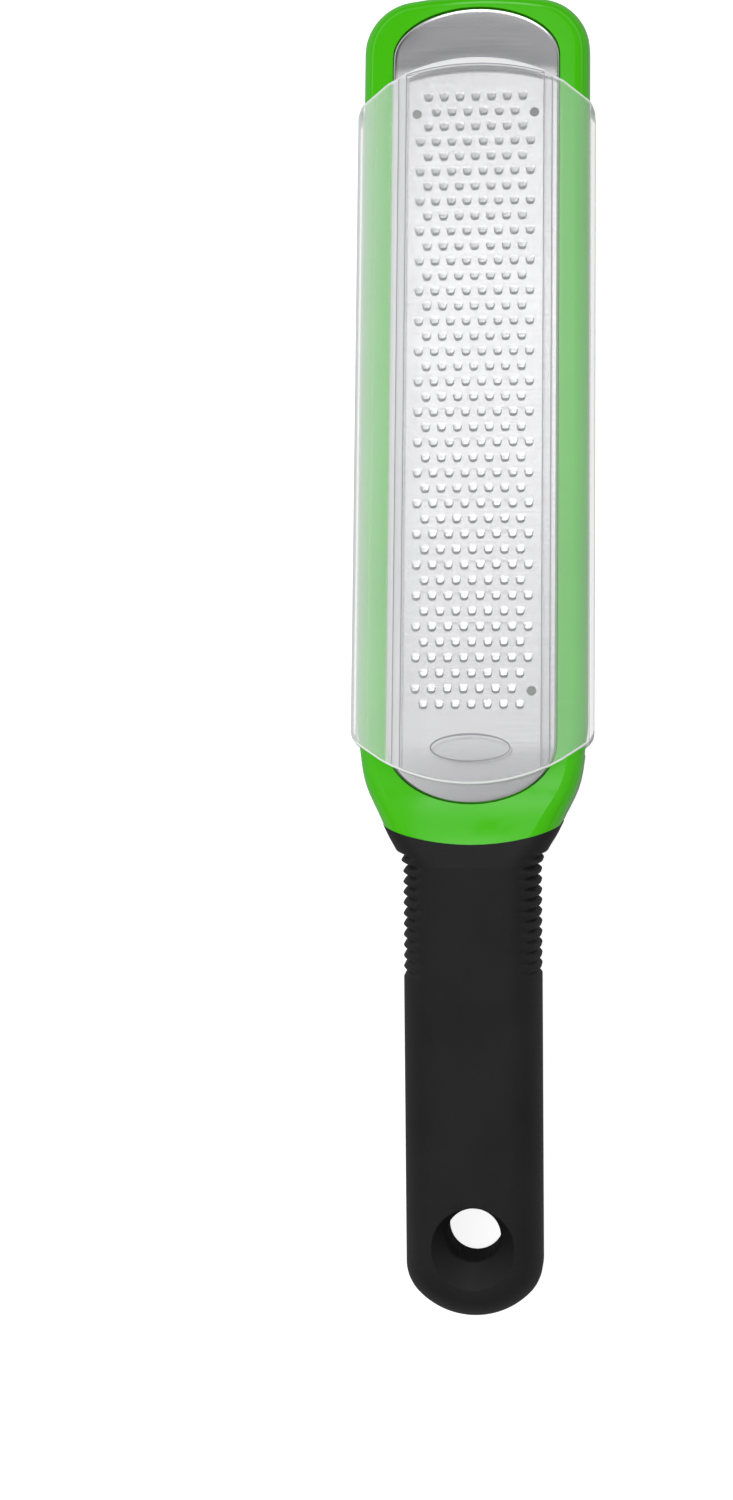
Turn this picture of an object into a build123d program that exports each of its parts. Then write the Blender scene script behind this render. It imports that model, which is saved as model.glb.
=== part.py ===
from build123d import *
from math import cos, radians, sin, sqrt, tan
import os

# A rasp zester lying on its back. Lengths are in millimetres and slopes in degrees.
# The head rises from the tip foot to the bend, and the handle falls from the bend to the butt.
# Head pieces are drawn with x across, y towards the tip and z off the underside, from the bend.
# Handle pieces are drawn the same way, along the handle.

# Whole tool
overall_length = 317.5
head_length = 199.0
head_slope = 4.0
handle_slope = 8.5
tip_lift = 6.8
overrun = 5.0

# Head frame and its bezel
head_width = 54.4
head_height = 13.0
seam_height = 7.0
head_top_round = 3.5
head_bottom_round = 1.5
tip_corner = 13.0
tip_bow = 3.6
window_width = 35.0
window_start = 20.0
window_end = 182.0
window_corner = 8.0

# Tabs that weld the bezel to the frame
tab_width = 1.5
tab_length = 6.0
tab_height = 3.0
tab_fit = 0.05
tab_inset = 3.65
tab_row_start = 30.0
tab_row_end = 178.0
tab_rows = 5

# Blade
blade_width = 40.0
blade_rise = 0.9
blade_start = 1.6
blade_end = 195.1
blade_start_round = 14.5
blade_end_round = 12.3
blade_sheet = 0.45
blade_flange = 1.6
blade_fit = 0.15
blade_recess_fit = 0.1
blade_bend_radius = 60.0
blade_bend_length = 14.5

# Teeth, which open towards the handle, and the registration holes beside them
tooth_rows = 41
tooth_columns = 7
tooth_row_pitch = 3.6875
tooth_column_pitch = 3.78
first_row_place = 172.0
tooth_width = 2.1
tooth_end_width = 1.5
tooth_length = 1.6
tooth_rise = 0.7
tooth_kerf = 0.1
field_margin = 1.2
pilot_radius = 1.15
pilot_half_spacing = 14.1
pilot_skip = 1.9
pilot_rows = (1, 39)

# Handle
handle_width = 32.5
handle_height = 21.5
handle_corner = 8.0
butt_depth = 13.0
butt_side_radius = 10.5
shoulder_start = 26.0
shoulder_end = 10.0
boundary_radius = 57.0
boundary_place = 4.8
shoulder_place_shares = (0.0, 0.086, 0.217, 0.389, 0.542, 0.672, 0.803, 0.917, 1.0)
shoulder_width_shares = (1.0, 1.0, 0.975, 0.90, 0.79, 0.60, 0.35, 0.14, 0.0)
shoulder_height_shares = (0.0, 0.0, 0.01, 0.03, 0.09, 0.22, 0.47, 0.82, 1.0)

# Fins on the sides of the grip, cut between the sections of an eight-sided core
fin_count = 11
fin_pitch = 2.5
fin_start = 7.95
fin_first_depth = 1.4
fin_last_depth = 0.7
fin_flank = 0.65
fin_flank_share = 0.35
fin_flat_height = 9.0
fin_reach = 7.0
fin_rise = 8.5

# Hang hole, with a dish on both faces
hole_radius = 6.45
hole_from_butt = 20.0
dish_radius = 9.9
dish_depth = 4.0

# Tang that the grip is moulded on
tang_width = 19.0
tang_height = 9.0
tang_corner = 4.0
tang_hole_gap = 13.0
key_count = 4
key_length = 11.0
key_width = 7.0
key_gap = 6.0
key_start = 15.0

# Foot under the tip
foot_width = 34.0
foot_start = 184.5
foot_edge = 2.6
foot_wall = 2.4
foot_corner = 3.0
foot_bevel = 0.8
boss_height = 4.0

# Cover
cover_width = 57.15
cover_wall = 1.1
cover_top = 17.2
cover_crown = 0.35
cover_panel_half = 16.5
cover_step_half = 18.4
cover_step_drop = 1.1
cover_shelf_half = 21.1
cover_shelf_top = 15.7
cover_wing_half = 27.6
cover_wing_top = 13.2
cover_side_top = 11.6
cover_bottom = 5.5
cover_lip_reach = 3.15
cover_start = 5.9
cover_end = 181.2
cover_end_radius = 42.0
cover_corner = 4.5
cover_lip_clearance = 0.3
cover_end_lip = 1.2
cover_end_lip_depth = 0.9
medallion_length = 18.9
medallion_height = 6.6
medallion_place = 14.7
medallion_depth = 0.3

head_half = head_width / 2
handle_half = handle_width / 2
blade_top = head_height + blade_rise
blade_under = blade_top - blade_sheet
head_angle = radians(head_slope)
handle_angle = radians(handle_slope)

# The tip and the butt end the tool's length, and the tip foot and the butt stand on the same plane.
head_reach = (head_length - head_top_round) * cos(head_angle) + head_top_round
bend_y = overall_length / 2 - head_reach - (head_height - head_top_round) * sin(head_angle)
bend_z = tip_lift + head_length * sin(head_angle)
butt_reach = overall_length / 2 + bend_y
corner_height = handle_height / 2 - handle_corner
corner_reach = butt_reach - handle_corner - 2 * corner_height * sin(handle_angle)
corner_reach = cos(handle_angle) * (corner_reach - (handle_corner - bend_z) * tan(handle_angle))
corner_rise = handle_corner - bend_z + corner_reach * sin(handle_angle)
handle_axis = corner_height + corner_rise / cos(handle_angle)
handle_length = corner_reach + handle_corner
butt_centre = butt_depth - handle_length
butt_side_half = handle_half - butt_side_radius
butt_end_radius = (butt_side_half ** 2 + butt_depth ** 2 - butt_side_radius ** 2) / 2
butt_end_radius = butt_end_radius / (butt_depth - butt_side_radius)
hole_place = hole_from_butt - handle_length

# The cover's lips run under the ledges of the frame, which stop them short of the shoulder.
lip_half = cover_width / 2 - cover_lip_reach
ledge_half = lip_half - cover_lip_clearance
lip_start = cover_start + cover_end_radius - sqrt(cover_end_radius ** 2 - lip_half ** 2)
ledge_start = lip_start - cover_lip_clearance

head_place = Pos(0, bend_y, bend_z) * Rot(-head_slope, 0, 0)
handle_place = Pos(0, bend_y, bend_z) * Rot(handle_slope, 0, 0)


def head_outline():
    """Plan of the head: straight sides, a bowed tip and round corners."""
    side = head_length - tip_bow
    edges = [
        Line((-head_half, shoulder_start), (head_half, shoulder_start)),
        Line((head_half, shoulder_start), (head_half, side)),
        ThreePointArc((head_half, side), (0, head_length), (-head_half, side)),
        Line((-head_half, side), (-head_half, shoulder_start)),
    ]
    face = make_face(edges)
    return fillet(face.vertices().group_by(Axis.Y)[-1], tip_corner)


def below_top(top):
    """Space under the blade's top line, which bends down at both ends of the blade."""
    radius = blade_bend_radius + top - blade_top
    start = blade_start + blade_bend_length
    end = blade_end - blade_bend_length
    drop = radius - sqrt(radius ** 2 - blade_bend_length ** 2)
    half_drop = radius - sqrt(radius ** 2 - (blade_bend_length / 2) ** 2)
    first = (blade_start, top - drop)
    last = (blade_end, top - drop)
    edges = [
        ThreePointArc(first, (start - blade_bend_length / 2, top - half_drop), (start, top)),
        Line((start, top), (end, top)),
        ThreePointArc((end, top), (end + blade_bend_length / 2, top - half_drop), last),
        Polyline(last, (blade_end, -overrun), (blade_start, -overrun), first),
    ]
    profile = Plane.YZ * make_face(edges)
    return extrude(profile, head_half + overrun, both=True)


def section(width, height, top_round, bottom_round):
    """Upright rectangle with rounded corners, centred on its middle."""
    face = make_face(Rectangle(width, height).edges())
    face = fillet(face.vertices().group_by(Axis.Y)[-1], top_round)
    return fillet(face.vertices().group_by(Axis.Y)[0], bottom_round)


def mix(first, last, share):
    """Value between two sizes."""
    return first + (last - first) * share


def shoulder_section(place_share, width_share, height_share):
    """Section of the shoulder, turned from the head's slope to the handle's."""
    along = mix(shoulder_start, -shoulder_end, place_share)
    width = mix(handle_width, head_width, width_share)
    height = mix(head_height, handle_height, height_share)
    top_round = mix(head_top_round, handle_corner, height_share)
    bottom_round = mix(head_bottom_round, handle_corner, height_share)
    slope = mix(-head_slope, handle_slope, height_share)
    if along > 0:
        centre = head_place * Pos(0, along, head_height / 2)
    else:
        centre = handle_place * Pos(0, along, handle_axis)
    turn = Rot(slope, 0, 0) * Rot(90, 0, 0)
    return Pos(centre.position) * turn * section(width, height, top_round, bottom_round)


def head_form():
    """Outer form of the head: a plate with a bowed tip, rounded at its rim."""
    plate = extrude(head_outline(), head_height)
    rim = plate.edges().filter_by(along_rim)
    plate = fillet(rim.group_by(Axis.Z)[-1], head_top_round)
    rim = plate.edges().filter_by(along_rim)
    return fillet(rim.group_by(Axis.Z)[0], head_bottom_round)


def along_rim(edge):
    """True for a level edge of the plate that isn't the one across the shoulder."""
    box = edge.bounding_box()
    return box.size.Z < head_bottom_round and box.max.Y > shoulder_start + overrun


def shoulder_form():
    """Outer form of the shoulder, lofted from the head's section to the handle's."""
    table = zip(shoulder_place_shares, shoulder_width_shares, shoulder_height_shares)
    return loft([shoulder_section(*shares) for shares in table])


def handle_outline():
    """Plan of the handle: a straight run and a butt of three tangent arcs."""
    centre_gap = butt_end_radius - butt_side_radius
    side_x = butt_side_half + butt_side_radius * butt_side_half / centre_gap
    side_y = butt_centre - butt_side_radius * (butt_end_radius - butt_depth) / centre_gap
    half_way = Vector(handle_half - butt_side_half, 0) + Vector(side_x - butt_side_half, side_y - butt_centre)
    half_way = half_way.normalized() * butt_side_radius + Vector(butt_side_half, butt_centre)
    edges = [
        Line((handle_half, butt_centre), (handle_half, -shoulder_end)),
        Line((handle_half, -shoulder_end), (-handle_half, -shoulder_end)),
        Line((-handle_half, -shoulder_end), (-handle_half, butt_centre)),
        ThreePointArc((-handle_half, butt_centre), (-half_way.X, half_way.Y), (-side_x, side_y)),
        ThreePointArc((-side_x, side_y), (0, butt_centre - butt_depth), (side_x, side_y)),
        ThreePointArc((side_x, side_y), (half_way.X, half_way.Y), (handle_half, butt_centre)),
    ]
    return make_face(edges)


def handle_form():
    """Outer form of the handle: a bar with a bowed butt, rounded along its rim."""
    form = extrude(handle_outline(), handle_height / 2, both=True)
    rim = form.edges().filter_by(lambda edge: edge.bounding_box().size.Z < handle_corner)
    rim = rim.filter_by(lambda edge: edge.bounding_box().min.Y < butt_centre + butt_depth)
    form = fillet(rim, handle_corner)
    return handle_place * Pos(0, 0, handle_axis) * form


def grip_region():
    """Space beyond the curved line where the soft grip begins."""
    wide = head_width + overrun
    far = handle_length + overrun
    tall = handle_height * 2
    block = Pos(0, (boundary_place / 2 - far) / 2, handle_axis) * Box(wide, far + boundary_place / 2, tall)
    round_end = Pos(0, boundary_radius - boundary_place, handle_axis) * Cylinder(boundary_radius, tall * 2)
    return handle_place * (block - round_end)


def blade_outline(grow):
    """Plan of the blade, grown by an amount all round: straight sides and elliptical ends."""
    half = blade_width / 2 + grow
    first = blade_start + blade_start_round
    last = blade_end - blade_end_round
    face = Pos(0, (first + last) / 2) * Rectangle(2 * half, last - first)
    face += Pos(0, first) * Ellipse(half, blade_start_round + grow)
    return face + Pos(0, last) * Ellipse(half, blade_end_round + grow)


def tooth_places():
    """Places of the teeth across and along the head, without those that a pilot hole takes."""
    pilots = pilot_places()
    places = []
    for row in range(tooth_rows):
        count = tooth_columns + row % 2
        along = first_row_place - row * tooth_row_pitch
        for column in range(count):
            across = (column - (count - 1) / 2) * tooth_column_pitch
            if all(abs(across - x) > pilot_skip or abs(along - y) > pilot_skip for x, y in pilots):
                places.append((across, along))
    return places


def pilot_places():
    """Places of the three registration holes."""
    top = first_row_place - pilot_rows[0] * tooth_row_pitch
    low = first_row_place - pilot_rows[1] * tooth_row_pitch
    return [(-pilot_half_spacing, top), (pilot_half_spacing, top), (pilot_half_spacing, low)]


def polygon(x, y, *points):
    """Flat face through points that are measured from a tooth's place."""
    return Face(Wire.make_polygon([(x + across, y + along, up) for across, along, up in points], close=True))


def tooth_faces(x, y):
    """Walls of a tooth's opening, and the tongue that rises over it to a sharp edge."""
    root = tooth_width / 2
    tip = tooth_end_width / 2
    low = -blade_sheet
    end = -tooth_length - tooth_kerf
    left, right = (-root, 0, 0), (root, 0, 0)
    left_low, right_low = (-root, 0, low), (root, 0, low)
    left_edge, right_edge = (-tip, -tooth_length, tooth_rise), (tip, -tooth_length, tooth_rise)
    left_end, right_end = (-tip - tooth_kerf, end, 0), (tip + tooth_kerf, end, 0)
    left_end_low, right_end_low = (-tip - tooth_kerf, end, low), (tip + tooth_kerf, end, low)
    return [
        polygon(x, y, left, right, right_edge, left_edge),
        polygon(x, y, left_low, right_low, right_edge, left_edge),
        polygon(x, y, left, left_low, left_edge),
        polygon(x, y, right, right_low, right_edge),
        polygon(x, y, right, right_end, right_end_low, right_low),
        polygon(x, y, right_end, left_end, left_end_low, right_end_low),
        polygon(x, y, left_end, left, left_low, left_end_low),
    ]


def opening_wire(x, y, up):
    """Outline of a tooth's opening at a height."""
    root = tooth_width / 2
    tip = tooth_end_width / 2 + tooth_kerf
    end = y - tooth_length - tooth_kerf
    points = [(x - root, y, up), (x + root, y, up), (x + tip, end, up), (x - tip, end, up)]
    return Wire.make_polygon(points, close=True)


def tooth_field(half, low, high):
    """Toothed middle of the blade, with its top at zero."""
    plate = Pos(0, (low + high) / 2, -blade_sheet / 2) * Box(2 * half, high - low, blade_sheet)
    faces = [face for face in plate.faces() if abs(face.normal_at().Z) < 0.5]
    for face in plate.faces().filter_by(Axis.Z):
        up = face.center().Z
        holes = [opening_wire(x, y, up) for x, y in tooth_places()]
        holes += [Wire.make_circle(pilot_radius, Plane((x, y, up))) for x, y in pilot_places()]
        faces.append(Face(face.outer_wire(), holes))
    for x, y in tooth_places():
        faces += tooth_faces(x, y)
    for x, y in pilot_places():
        pilot = Pos(x, y, -blade_sheet / 2) * Cylinder(pilot_radius, blade_sheet)
        faces += pilot.faces().filter_by(GeomType.CYLINDER)
    return Solid(Shell(faces))


def blade():
    """Etched sheet with its rim turned down into a skirt and out into a flange."""
    field_half = blade_width / 2 - blade_sheet - field_margin
    field_low = window_start + field_margin
    field_high = first_row_place + tooth_row_pitch
    outside = below_top(blade_top)
    inside = below_top(blade_under)
    sheet = extrude(blade_outline(0), head_height * 2) & (outside - inside)
    skirt_plan = blade_outline(0) - blade_outline(-blade_sheet)
    skirt = extrude(skirt_plan, head_height * 2) & outside
    skirt -= Pos(0, head_length / 2) * Box(head_width, head_length * 2, 2 * seam_height)
    flange_plan = blade_outline(blade_flange) - blade_outline(-blade_sheet)
    flange = Pos(0, 0, seam_height) * extrude(flange_plan, blade_sheet)
    shell = sheet + skirt + flange
    field_middle = (field_low + field_high) / 2
    shell -= Pos(0, field_middle, head_height) * Box(2 * field_half, field_high - field_low, head_height / 2)
    field = tooth_field(field_half, field_low, field_high)
    return head_place * (shell + Pos(0, 0, blade_top) * field)


def above_seam():
    """Space of the head and shoulder above the seam between frame and bezel."""
    wide = head_width + overrun
    tall = handle_height * 2
    return head_place * Pos(0, 0, seam_height + tall / 2) * Box(wide, 2 * (head_length + overrun), tall)


def tab_places():
    """Places of the welding tabs along both sides of the head."""
    across = head_half - tab_inset
    pitch = (tab_row_end - tab_row_start) / (tab_rows - 1)
    return [(side * across, tab_row_start + row * pitch) for side in (-1, 1) for row in range(tab_rows)]


def bezel(shell):
    """Upper shell of the head, a rim that holds the blade's flange down on the frame."""
    form = shell & above_seam()
    well = extrude(blade_outline(blade_fit), handle_height)
    recess = extrude(blade_outline(blade_flange + blade_fit), blade_sheet + blade_recess_fit)
    form -= head_place * Pos(0, 0, seam_height) * (well + recess)
    slot_width = tab_width + 2 * tab_fit
    slot_length = tab_length + 2 * tab_fit
    slot = Box(slot_width, slot_length, 2 * (tab_height + tab_fit))
    for x, y in tab_places():
        form -= head_place * Pos(x, y, seam_height) * slot
    return form


def foot_outline(inset):
    """Plan of the tip foot, which follows the bowed tip, drawn in from its edge by an amount."""
    plan = offset(head_outline(), -foot_edge - inset)
    depth = head_length - foot_start
    strip = Pos(0, foot_start + inset + depth) * Rectangle(foot_width - 2 * inset, 2 * depth)
    plan &= strip
    corners = plan.vertices().group_by(Axis.Y)[0]
    return fillet(corners, foot_corner)


def tang():
    """Flat bar in the handle, with key slots that the soft moulding fills."""
    reach = -hole_place - tang_hole_gap
    plan = Pos(0, -reach / 2) * Rectangle(tang_width, reach)
    plan = fillet(plan.vertices().group_by(Axis.Y)[0], tang_corner)
    for key in range(key_count):
        along = -key_start - key_length / 2 - key * (key_length + key_gap)
        plan -= Pos(0, along) * Rectangle(key_width, key_length)
    bar = extrude(plan, tang_height / 2, both=True)
    return (handle_place * Pos(0, 0, handle_axis) * bar) & grip_region()


def frame(shell):
    """Lower shell of the head with its window, cover ledges, tabs and foot boss, and the tang."""
    form = shell - above_seam()
    window_length = window_end - window_start
    window = RectangleRounded(window_width, window_length, window_corner)
    window = Pos(0, window_start + window_length / 2, -overrun) * extrude(window, seam_height + 2 * overrun)
    form -= head_place * window
    side = head_half + overrun - ledge_half
    reach = head_length + overrun - ledge_start
    notch = Box(side, reach, seam_height + overrun)
    for direction in (-1, 1):
        across = direction * (ledge_half + side / 2)
        form -= head_place * Pos(across, ledge_start + reach / 2, (seam_height - overrun) / 2) * notch
    tab = Box(tab_width, tab_length, tab_height, align=(Align.CENTER, Align.CENTER, Align.MIN))
    for x, y in tab_places():
        form += head_place * Pos(x, y, seam_height) * tab
    form += head_place * extrude(foot_outline(foot_wall), -boss_height)
    return form + tang()


def core_points(along, half):
    """Corners of an eight-sided section of the core that the grooves are cut down to."""
    flat = fin_flat_height / 2
    far = flat + fin_rise
    near = half - fin_reach
    right = [(near, along, -far), (half, along, -flat), (half, along, flat), (near, along, far)]
    return right + [(-x, y, z) for x, y, z in reversed(right)]


def fin_core():
    """Core with a valley for each groove, flat-sided from one section to the next."""
    rings = []
    for groove in range(fin_count + 1):
        depth = mix(fin_first_depth, fin_last_depth, groove / fin_count)
        middle = -fin_start - groove * fin_pitch
        flank = handle_half - depth * fin_flank_share
        rings.append(core_points(middle + fin_pitch / 2, handle_half + depth))
        rings.append(core_points(middle + fin_flank, flank))
        rings.append(core_points(middle, handle_half - depth))
        rings.append(core_points(middle - fin_flank, flank))
    rings.append(core_points(middle - fin_pitch / 2, handle_half + fin_last_depth))
    faces = [Face(Wire.make_polygon(ring, close=True)) for ring in (rings[0], rings[-1])]
    for ring, following in zip(rings, rings[1:]):
        for corner in range(len(ring)):
            before = corner - 1
            points = [ring[before], ring[corner], following[corner], following[before]]
            faces.append(Face(Wire.make_polygon(points, close=True)))
    return Solid(Shell(faces))


def fin_grooves():
    """Grooves between the fins, which fade out on the top and underside of the handle."""
    length = (fin_count + 1) * fin_pitch
    middle = -fin_start + fin_pitch / 2 - length / 2
    block = Box(handle_width + 2 * overrun, length, 2 * fin_flat_height)
    block -= Box(handle_width - 2 * fin_reach, length, 2 * fin_flat_height)
    return Pos(0, middle, 0) * block - fin_core()


def hang_hole():
    """Hang hole, which opens into a dish on both faces of the handle."""
    tall = handle_height / 2
    throat = tall - dish_depth
    half = Polyline((0, 0), (hole_radius, 0), (hole_radius, throat), (dish_radius, tall))
    half += Polyline((dish_radius, tall), (dish_radius, tall + overrun), (0, tall + overrun), (0, 0))
    dish = revolve(Plane.XZ * make_face(half), Axis.Z)
    return dish + mirror(dish, Plane.XY)


def grip(body):
    """Soft moulding round the tang, with fins on its sides and a dished hang hole."""
    form = (body & grip_region()) - tang()
    form -= handle_place * Pos(0, hole_place, handle_axis) * hang_hole()
    form -= handle_place * Pos(0, 0, handle_axis) * fin_grooves()
    return form


def tip_foot():
    """Soft pad moulded round the frame's boss, cut flat where it stands."""
    deep = tip_lift + foot_width
    pad = head_place * extrude(foot_outline(0), -deep)
    boss = head_place * extrude(foot_outline(foot_wall), -boss_height)
    below = Pos(0, 0, -deep) * Box(overall_length * 2, overall_length * 2, 2 * deep)
    pad -= below
    pad = chamfer(pad.edges().group_by(Axis.Z)[0], foot_bevel)
    return pad - boss


def cover_plan():
    """Plan of the cover: straight sides and two bowed ends with round corners."""
    half = cover_width / 2
    sag = cover_end_radius - sqrt(cover_end_radius ** 2 - half ** 2)
    edges = [
        Line((half, cover_start + sag), (half, cover_end - sag)),
        ThreePointArc((half, cover_end - sag), (0, cover_end), (-half, cover_end - sag)),
        Line((-half, cover_end - sag), (-half, cover_start + sag)),
        ThreePointArc((-half, cover_start + sag), (0, cover_start), (half, cover_start + sag)),
    ]
    face = make_face(edges)
    return fillet(face.vertices(), cover_corner)


def cover_section():
    """Outer section of the cover: a crowned panel, a step, a shelf, a sloped wing and a side."""
    side = cover_width / 2
    panel_edge = cover_top - cover_crown
    right = [
        (cover_panel_half, panel_edge),
        (cover_step_half, panel_edge - cover_step_drop),
        (cover_shelf_half, cover_shelf_top),
        (cover_wing_half, cover_wing_top),
        (side, cover_side_top),
        (side, cover_bottom),
    ]
    left = [(-x, y) for x, y in reversed(right)]
    crown = ThreePointArc(left[-1], (0, cover_top), right[0])
    return make_face([crown, Polyline(*right), Line(right[-1], left[0]), Polyline(*left)])


def cover():
    """Clear cover that hooks under the frame's ledges with a lip along each side."""
    outer = cover_section()
    lip_top = cover_bottom + cover_wall
    inner = offset(outer, -cover_wall, kind=Kind.INTERSECTION)
    mouth = Rectangle(2 * lip_half, 2 * lip_top)
    ring = outer - inner - mouth
    upright = Rot(90, 0, 0)
    far = cover_end + overrun
    form = extrude(upright * ring, -far) & extrude(cover_plan(), cover_top + overrun)
    cap_plan = cover_plan() - offset(cover_plan(), -cover_end_lip)
    cap_half = cover_panel_half - cover_wall
    cap_plan &= Pos(0, far / 2) * Rectangle(2 * cap_half, 2 * far)
    cap_low = cover_top - cover_wall - cover_end_lip_depth
    caps = Pos(0, 0, cap_low) * extrude(cap_plan, cover_wall + cover_end_lip_depth)
    form += caps & extrude(upright * outer, -far)
    medallion = Pos(0, medallion_place, cover_top - medallion_depth)
    form -= medallion * extrude(Ellipse(medallion_length / 2, medallion_height / 2), overrun)
    return head_place * form


def main():
    """Build every node and write it as a STEP file."""
    os.makedirs("parts", exist_ok=True)
    body = head_place * head_form() + shoulder_form() + handle_form()
    shell = body - grip_region()
    nodes = {
        "blade": blade(),
        "bezel": bezel(shell),
        "frame": frame(shell),
        "grip": grip(body),
        "tip_foot": tip_foot(),
        "cover": cover(),
    }
    for name, node in nodes.items():
        export_step(node, "parts/" + name + ".step")
        print(name, "volume", round(node.volume, 1), "valid", node.is_valid)


if __name__ == "__main__":
    main()
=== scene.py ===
import bmesh
import bpy
from math import cos, hypot, pi, radians, sin, sqrt
from mathutils import Matrix, Vector


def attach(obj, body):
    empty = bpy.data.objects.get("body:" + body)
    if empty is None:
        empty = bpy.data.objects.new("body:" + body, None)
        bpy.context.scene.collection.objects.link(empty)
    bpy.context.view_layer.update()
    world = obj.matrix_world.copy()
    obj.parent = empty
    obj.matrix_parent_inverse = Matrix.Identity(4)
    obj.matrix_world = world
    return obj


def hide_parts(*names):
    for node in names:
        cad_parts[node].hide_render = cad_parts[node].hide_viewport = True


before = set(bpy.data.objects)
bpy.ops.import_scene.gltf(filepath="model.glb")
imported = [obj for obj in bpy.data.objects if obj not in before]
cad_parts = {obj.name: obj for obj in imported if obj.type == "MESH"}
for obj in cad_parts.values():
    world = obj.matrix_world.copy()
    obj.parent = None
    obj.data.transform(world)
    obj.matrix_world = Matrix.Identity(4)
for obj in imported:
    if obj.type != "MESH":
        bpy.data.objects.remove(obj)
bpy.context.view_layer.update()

# Angles are in degrees and lengths in metres. The pieces of the head and the handle are drawn in
# millimetres from the bend between the two, along their own slopes: x across, y towards the tip, z up.

# Camera, set to the photograph's view
image_height_px = 1500
focal_length_px = 3073.94
camera_place = (0.04745, -0.06513, 0.750)
camera_pitch = 3.186
camera_yaw = 5.728
camera_roll = -0.045
sensor_height_mm = 24.0

# Floor and its own glow
floor_size = 6.0
floor_colour = (0.50, 0.50, 0.50, 1.0)
floor_roughness = 0.9
floor_glow = 0.86

# Painted shade under the head, where the floor hardly glows: limits across and along from its middle
shade_glow = 0.05
shade_middle = 0.0615
shade_across = (0.0165, 0.0240)
shade_along = (0.0730, 0.1050)

# Light
ambient_level = 0.58
key_lean_y = 6
key_lean_x = -18
key_size = 1.3
key_radiance = 1.95
key_distance = 1.6

# Brightness of the reflected studio by the angle towards the tip
studio_bands = (
    (-90.0, 0.12),
    (-56.0, 0.12),
    (-50.0, 0.50),
    (-16.0, 0.62),
    (-12.0, 0.72),
    (0.0, 0.92),
    (12.0, 1.15),
    (17.0, 1.75),
    (23.3, 2.90),
    (23.9, 0.14),
    (27.0, 0.24),
    (32.0, 0.44),
    (44.0, 0.34),
    (46.0, 3.40),
    (60.0, 3.40),
    (63.0, 0.20),
    (90.0, 0.20),
)

# Share of that brightness by the angle across the tool
studio_window = (
    (-90.0, 0.45),
    (-34.0, 0.30),
    (-17.0, 0.15),
    (-13.0, 1.0),
    (15.0, 1.0),
    (19.0, 0.15),
    (40.0, 0.25),
    (90.0, 0.40),
)

# Dark gap in the studio: limits across, end towards the tip and share of light left
studio_gap = (-3.2, 4.5)
studio_gap_end = 11.0
studio_gap_level = 0.2

# Least upward part of a direction whose angles are taken
least_up = 0.001

# Detail of the noise in the materials
low_detail = 2.0
middle_detail = 3.0
high_detail = 4.0

# Green plastic
green_colours = ((0.058, 0.555, 0.0015, 1.0), (0.069, 0.590, 0.003, 1.0))
green_flow_scale = 35.0
green_skin_scale = 900.0
green_roughness = (0.08, 0.14)
green_specular = 0.4

# Crown of the green plastic, as a drop per square of the distance from the middle, and its ripple
crown_rate = 3.3
ripple_scale = 260.0
ripple_height = 0.00001

# Black rubber
rubber_colours = ((0.0110, 0.0110, 0.0115, 1.0), (0.0150, 0.0150, 0.0155, 1.0))
rubber_cloud_scale = 60.0
rubber_skin_scale = 2600.0
rubber_roughness = (0.52, 0.68)
rubber_specular = 0.35
rubber_bump_strength = 0.25
rubber_bump_height = 0.00006

# Brushed steel, with a satin middle and a polished end at the tip
steel_colours = ((0.70, 0.70, 0.715, 1.0), (0.78, 0.78, 0.795, 1.0))
steel_colour_places = (0.25, 0.75)
brushing_scale = 2600.0
brushing_stretch = (0.02, 1.0, 1.0)
steel_cloud_scale = 60.0
satin_roughness = 0.20
polished_roughness = 0.11
polish_limits = (0.1385, 0.1405)
steel_wear = 0.05
steel_bump_strength = 0.06
steel_bump_height = 0.00002

# Clear plastic: name, tint, opacity facing the eye and opacity seen edge on
clear_kinds = (
    ("clear_plastic", (0.95, 0.95, 0.97), 0.12, 0.80),
    # Painted highlight for the bright rims at the cover's ends
    ("clear_rim_painted_highlight", (0.99, 0.99, 1.0), 0.78, 0.97),
    # Painted shade for thin lines at the cover's bends, under its far rim and on the walls of its recess
    ("clear_line_painted_shade", (0.38, 0.37, 0.41), 0.75, 0.95),
    ("clear_recess", (0.78, 0.79, 0.79), 0.22, 0.80),
)
plain_kind = 0
highlight_rim_kind = 1
shade_line_kind = 2
recess_kind = 3
clear_haze_scale = 25.0
clear_haze_tint = 0.97
clear_roughness = (0.04, 0.08)
clear_ior = 1.49
clear_facing_blend = 0.5

# How that opacity grows: turn of the face away, factor on the first opacity, share of the second
clear_turns = (
    (0.0, 1.0, 0.0),
    (0.12, 1.1, 0.0),
    (0.40, 1.0, 0.22),
    (0.70, 1.0, 0.42),
    (1.0, 1.0, 1.0),
)

# Left side of the cover made milkier as painted glare: place across it and the opacity added there
painted_glare_half = 0.030
painted_glare_places = (
    (-0.0285, 0.28),
    (-0.0265, 0.20),
    (-0.0235, 0.10),
    (-0.0202, 0.05),
    (-0.0197, 0.30),
    (-0.0168, 0.30),
    (-0.0163, 0.06),
    (-0.0100, 0.0),
)

# Bend between head and handle in millimetres, and their slopes
bend_y = -40.4365
bend_z = 20.6815
head_slope = 4.0
handle_slope = 8.5
millimetre = 0.001

# Distances in metres under which points are joined
same_point = 0.000001
weld_distance = 0.00001

# Angles above which an edge stays sharp
moulding_sharp = 35
rim_sharp = 40
sheet_sharp = 30
teeth_sharp = 50
grip_sharp = 38

# Blade
blade_half = 20.0
blade_top = 13.9
blade_start = 1.6
blade_end = 195.1
blade_start_round = 14.5
blade_end_round = 12.3
blade_sheet = 0.45
bend_radius = 90.0
bend_length = 14.5
bend_fall = 6.0
rim_radius = 0.6
rim_flat = 1.2
fold_round = 0.3
fold_round_middle = 0.09
flange_reach = 1.6
flange_low = 7.0
row_margin = 0.001

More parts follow.
